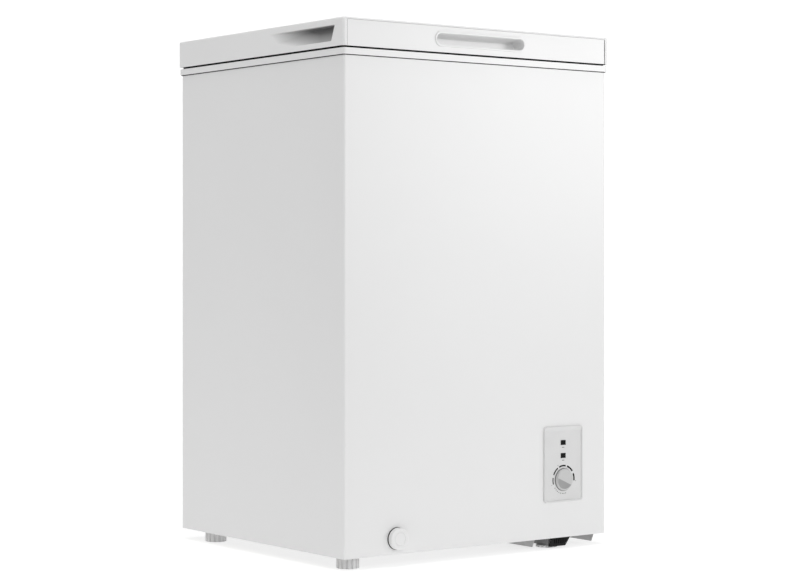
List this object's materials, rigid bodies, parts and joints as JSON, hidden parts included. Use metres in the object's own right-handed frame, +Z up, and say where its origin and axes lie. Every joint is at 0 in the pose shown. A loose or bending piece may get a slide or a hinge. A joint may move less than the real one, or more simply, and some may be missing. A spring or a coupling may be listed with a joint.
{
  "type": "chest freezer",
  "caption": "Small upright-proportioned chest freezer with a hinged foamed lid, hanging wire basket, front thermostat dial and drain, and screw-down feet.",
  "frame": {"origin": "centre of the bounding box on the floor", "axes": "+X to the right as seen from the front, +Y from the front to the back, +Z up"},
  "size_m": [0.545, 0.5056, 0.85],
  "materials": {
    "white_paint": "satin",
    "white_plastic": "satin",
    "liner_plastic": "gloss",
    "zinc_steel": "satin",
    "foam": "matte",
    "aluminium_tube": "satin",
    "copper_tube": "satin",
    "black_enamel": "satin",
    "black_rubber": "matte",
    "black_plastic": "matte",
    "grey_plastic": "matte",
    "panel_plastic": "satin",
    "knob_plastic": "satin",
    "lamp_lens": "gloss",
    "gasket_rubber": "matte",
    "foot_plastic": "matte",
    "basket_wire": "gloss"
  },
  "bodies": {
    "cabinet": {"outer_wrap": "white_paint", "rear_panel": "zinc_steel", "base_panel": "zinc_steel", "bay_panel": "zinc_steel", "inner_liner": "liner_plastic", "cabinet_foam": "foam", "top_collar": "white_plastic", "evaporator_coil": "aluminium_tube", "condenser_coil": "copper_tube", "filter_drier": "copper_tube", "capillary_tube": "copper_tube", "suction_line": "copper_tube", "discharge_line": "copper_tube", "compressor_shell": "black_enamel", "compressor_bracket": "zinc_steel", "compressor_grommets": "black_rubber", "compressor_bolts": "zinc_steel", "terminal_cover": "black_plastic", "compressor_tray": "zinc_steel", "air_inlet_duct": "grey_plastic", "air_inlet_grille": "black_plastic", "bay_rear_cover": "zinc_steel", "rear_cover_screws": "zinc_steel", "side_vent_grille": "white_plastic", "control_bezel": "panel_plastic", "thermostat_body": "zinc_steel", "sensor_tube": "copper_tube", "power_lamp": "lamp_lens", "run_lamp": "lamp_lens", "drain_fitting": "white_plastic", "drain_tube": "grey_plastic", "cord_gland": "black_plastic", "wiring_loom": "black_rubber", "foot_sockets": "zinc_steel", "hinge_lower_left": "zinc_steel", "hinge_lower_right": "zinc_steel", "hinge_pins": "zinc_steel", "lower_hinge_screws": "zinc_steel"},
    "lid": {"lid_shell": "white_paint", "lid_fascia": "white_paint", "front_grip": "white_plastic", "lid_foam": "foam", "lid_inner_panel": "liner_plastic", "lid_gasket": "gasket_rubber", "hinge_upper_left": "zinc_steel", "hinge_upper_right": "zinc_steel", "upper_hinge_screws": "zinc_steel"},
    "knob": {"thermostat_knob": "knob_plastic", "thermostat_shaft": "zinc_steel"},
    "drain_cap": {"drain_cap": "white_plastic"},
    "drain_plug": {"drain_plug": "white_plastic"},
    "basket": {"basket": "basket_wire"},
    "foot_stud_front_left": {"foot_stud_front_left": "zinc_steel"},
    "foot_pad_front_left": {"foot_pad_front_left": "foot_plastic"},
    "foot_stud_front_right": {"foot_stud_front_right": "zinc_steel"},
    "foot_pad_front_right": {"foot_pad_front_right": "foot_plastic"},
    "foot_stud_rear_left": {"foot_stud_rear_left": "zinc_steel"},
    "foot_pad_rear_left": {"foot_pad_rear_left": "foot_plastic"},
    "foot_stud_rear_right": {"foot_stud_rear_right": "zinc_steel"},
    "foot_pad_rear_right": {"foot_pad_rear_right": "foot_plastic"}
  },
  "joints": [
    {"name": "lid_hinge", "type": "hinge", "parent": "cabinet", "child": "lid", "pos_m": [0, 0.24825, 0.8045], "axis": [-1, 0, 0], "range_deg": [0, 80]},
    {"name": "knob_turn", "type": "hinge", "parent": "cabinet", "child": "knob", "pos_m": [0.1753, -0.24775, 0.1136], "axis": [0, 1, 0], "range_deg": [-60, 160]},
    {"name": "drain_cap_pull", "type": "slide", "parent": "cabinet", "child": "drain_cap", "axis": [0, -1, 0], "range_m": [0, 0.03]},
    {"name": "drain_plug_lift", "type": "slide", "parent": "cabinet", "child": "drain_plug", "axis": [0, 0, 1], "range_m": [0, 0.03]},
    {"name": "basket_slide", "type": "slide", "parent": "cabinet", "child": "basket", "axis": [-1, 0, 0], "range_m": [0, 0.189]},
    {"name": "foot_screw_front_left", "type": "slide", "parent": "cabinet", "child": "foot_stud_front_left", "axis": [0, 0, -1], "range_m": [0, 0.005]},
    {"name": "foot_turn_front_left", "type": "hinge", "parent": "foot_stud_front_left", "child": "foot_pad_front_left", "pos_m": [-0.2405, -0.21275, 0.01], "axis": [0, 0, 1], "range_deg": [0, 1440]},
    {"name": "foot_screw_front_right", "type": "slide", "parent": "cabinet", "child": "foot_stud_front_right", "axis": [0, 0, -1], "range_m": [0, 0.005]},
    {"name": "foot_turn_front_right", "type": "hinge", "parent": "foot_stud_front_right", "child": "foot_pad_front_right", "pos_m": [0.165, -0.21275, 0.01], "axis": [0, 0, 1], "range_deg": [0, 1440]},
    {"name": "foot_screw_rear_left", "type": "slide", "parent": "cabinet", "child": "foot_stud_rear_left", "axis": [0, 0, -1], "range_m": [0, 0.005]},
    {"name": "foot_turn_rear_left", "type": "hinge", "parent": "foot_stud_rear_left", "child": "foot_pad_rear_left", "pos_m": [-0.2405, 0.17325, 0.01], "axis": [0, 0, 1], "range_deg": [0, 1440]},
    {"name": "foot_screw_rear_right", "type": "slide", "parent": "cabinet", "child": "foot_stud_rear_right", "axis": [0, 0, -1], "range_m": [0, 0.005]},
    {"name": "foot_turn_rear_right", "type": "hinge", "parent": "foot_stud_rear_right", "child": "foot_pad_rear_right", "pos_m": [0.165, 0.17325, 0.01], "axis": [0, 0, 1], "range_deg": [0, 1440]}
  ],
  "couplings": [
    {"joint": "foot_screw_front_left", "follows": "foot_turn_front_left", "m_per_rad": 0.00019894},
    {"joint": "foot_screw_front_right", "follows": "foot_turn_front_right", "m_per_rad": 0.00019894},
    {"joint": "foot_screw_rear_left", "follows": "foot_turn_rear_left", "m_per_rad": 0.00019894},
    {"joint": "foot_screw_rear_right", "follows": "foot_turn_rear_right", "m_per_rad": 0.00019894}
  ]
}
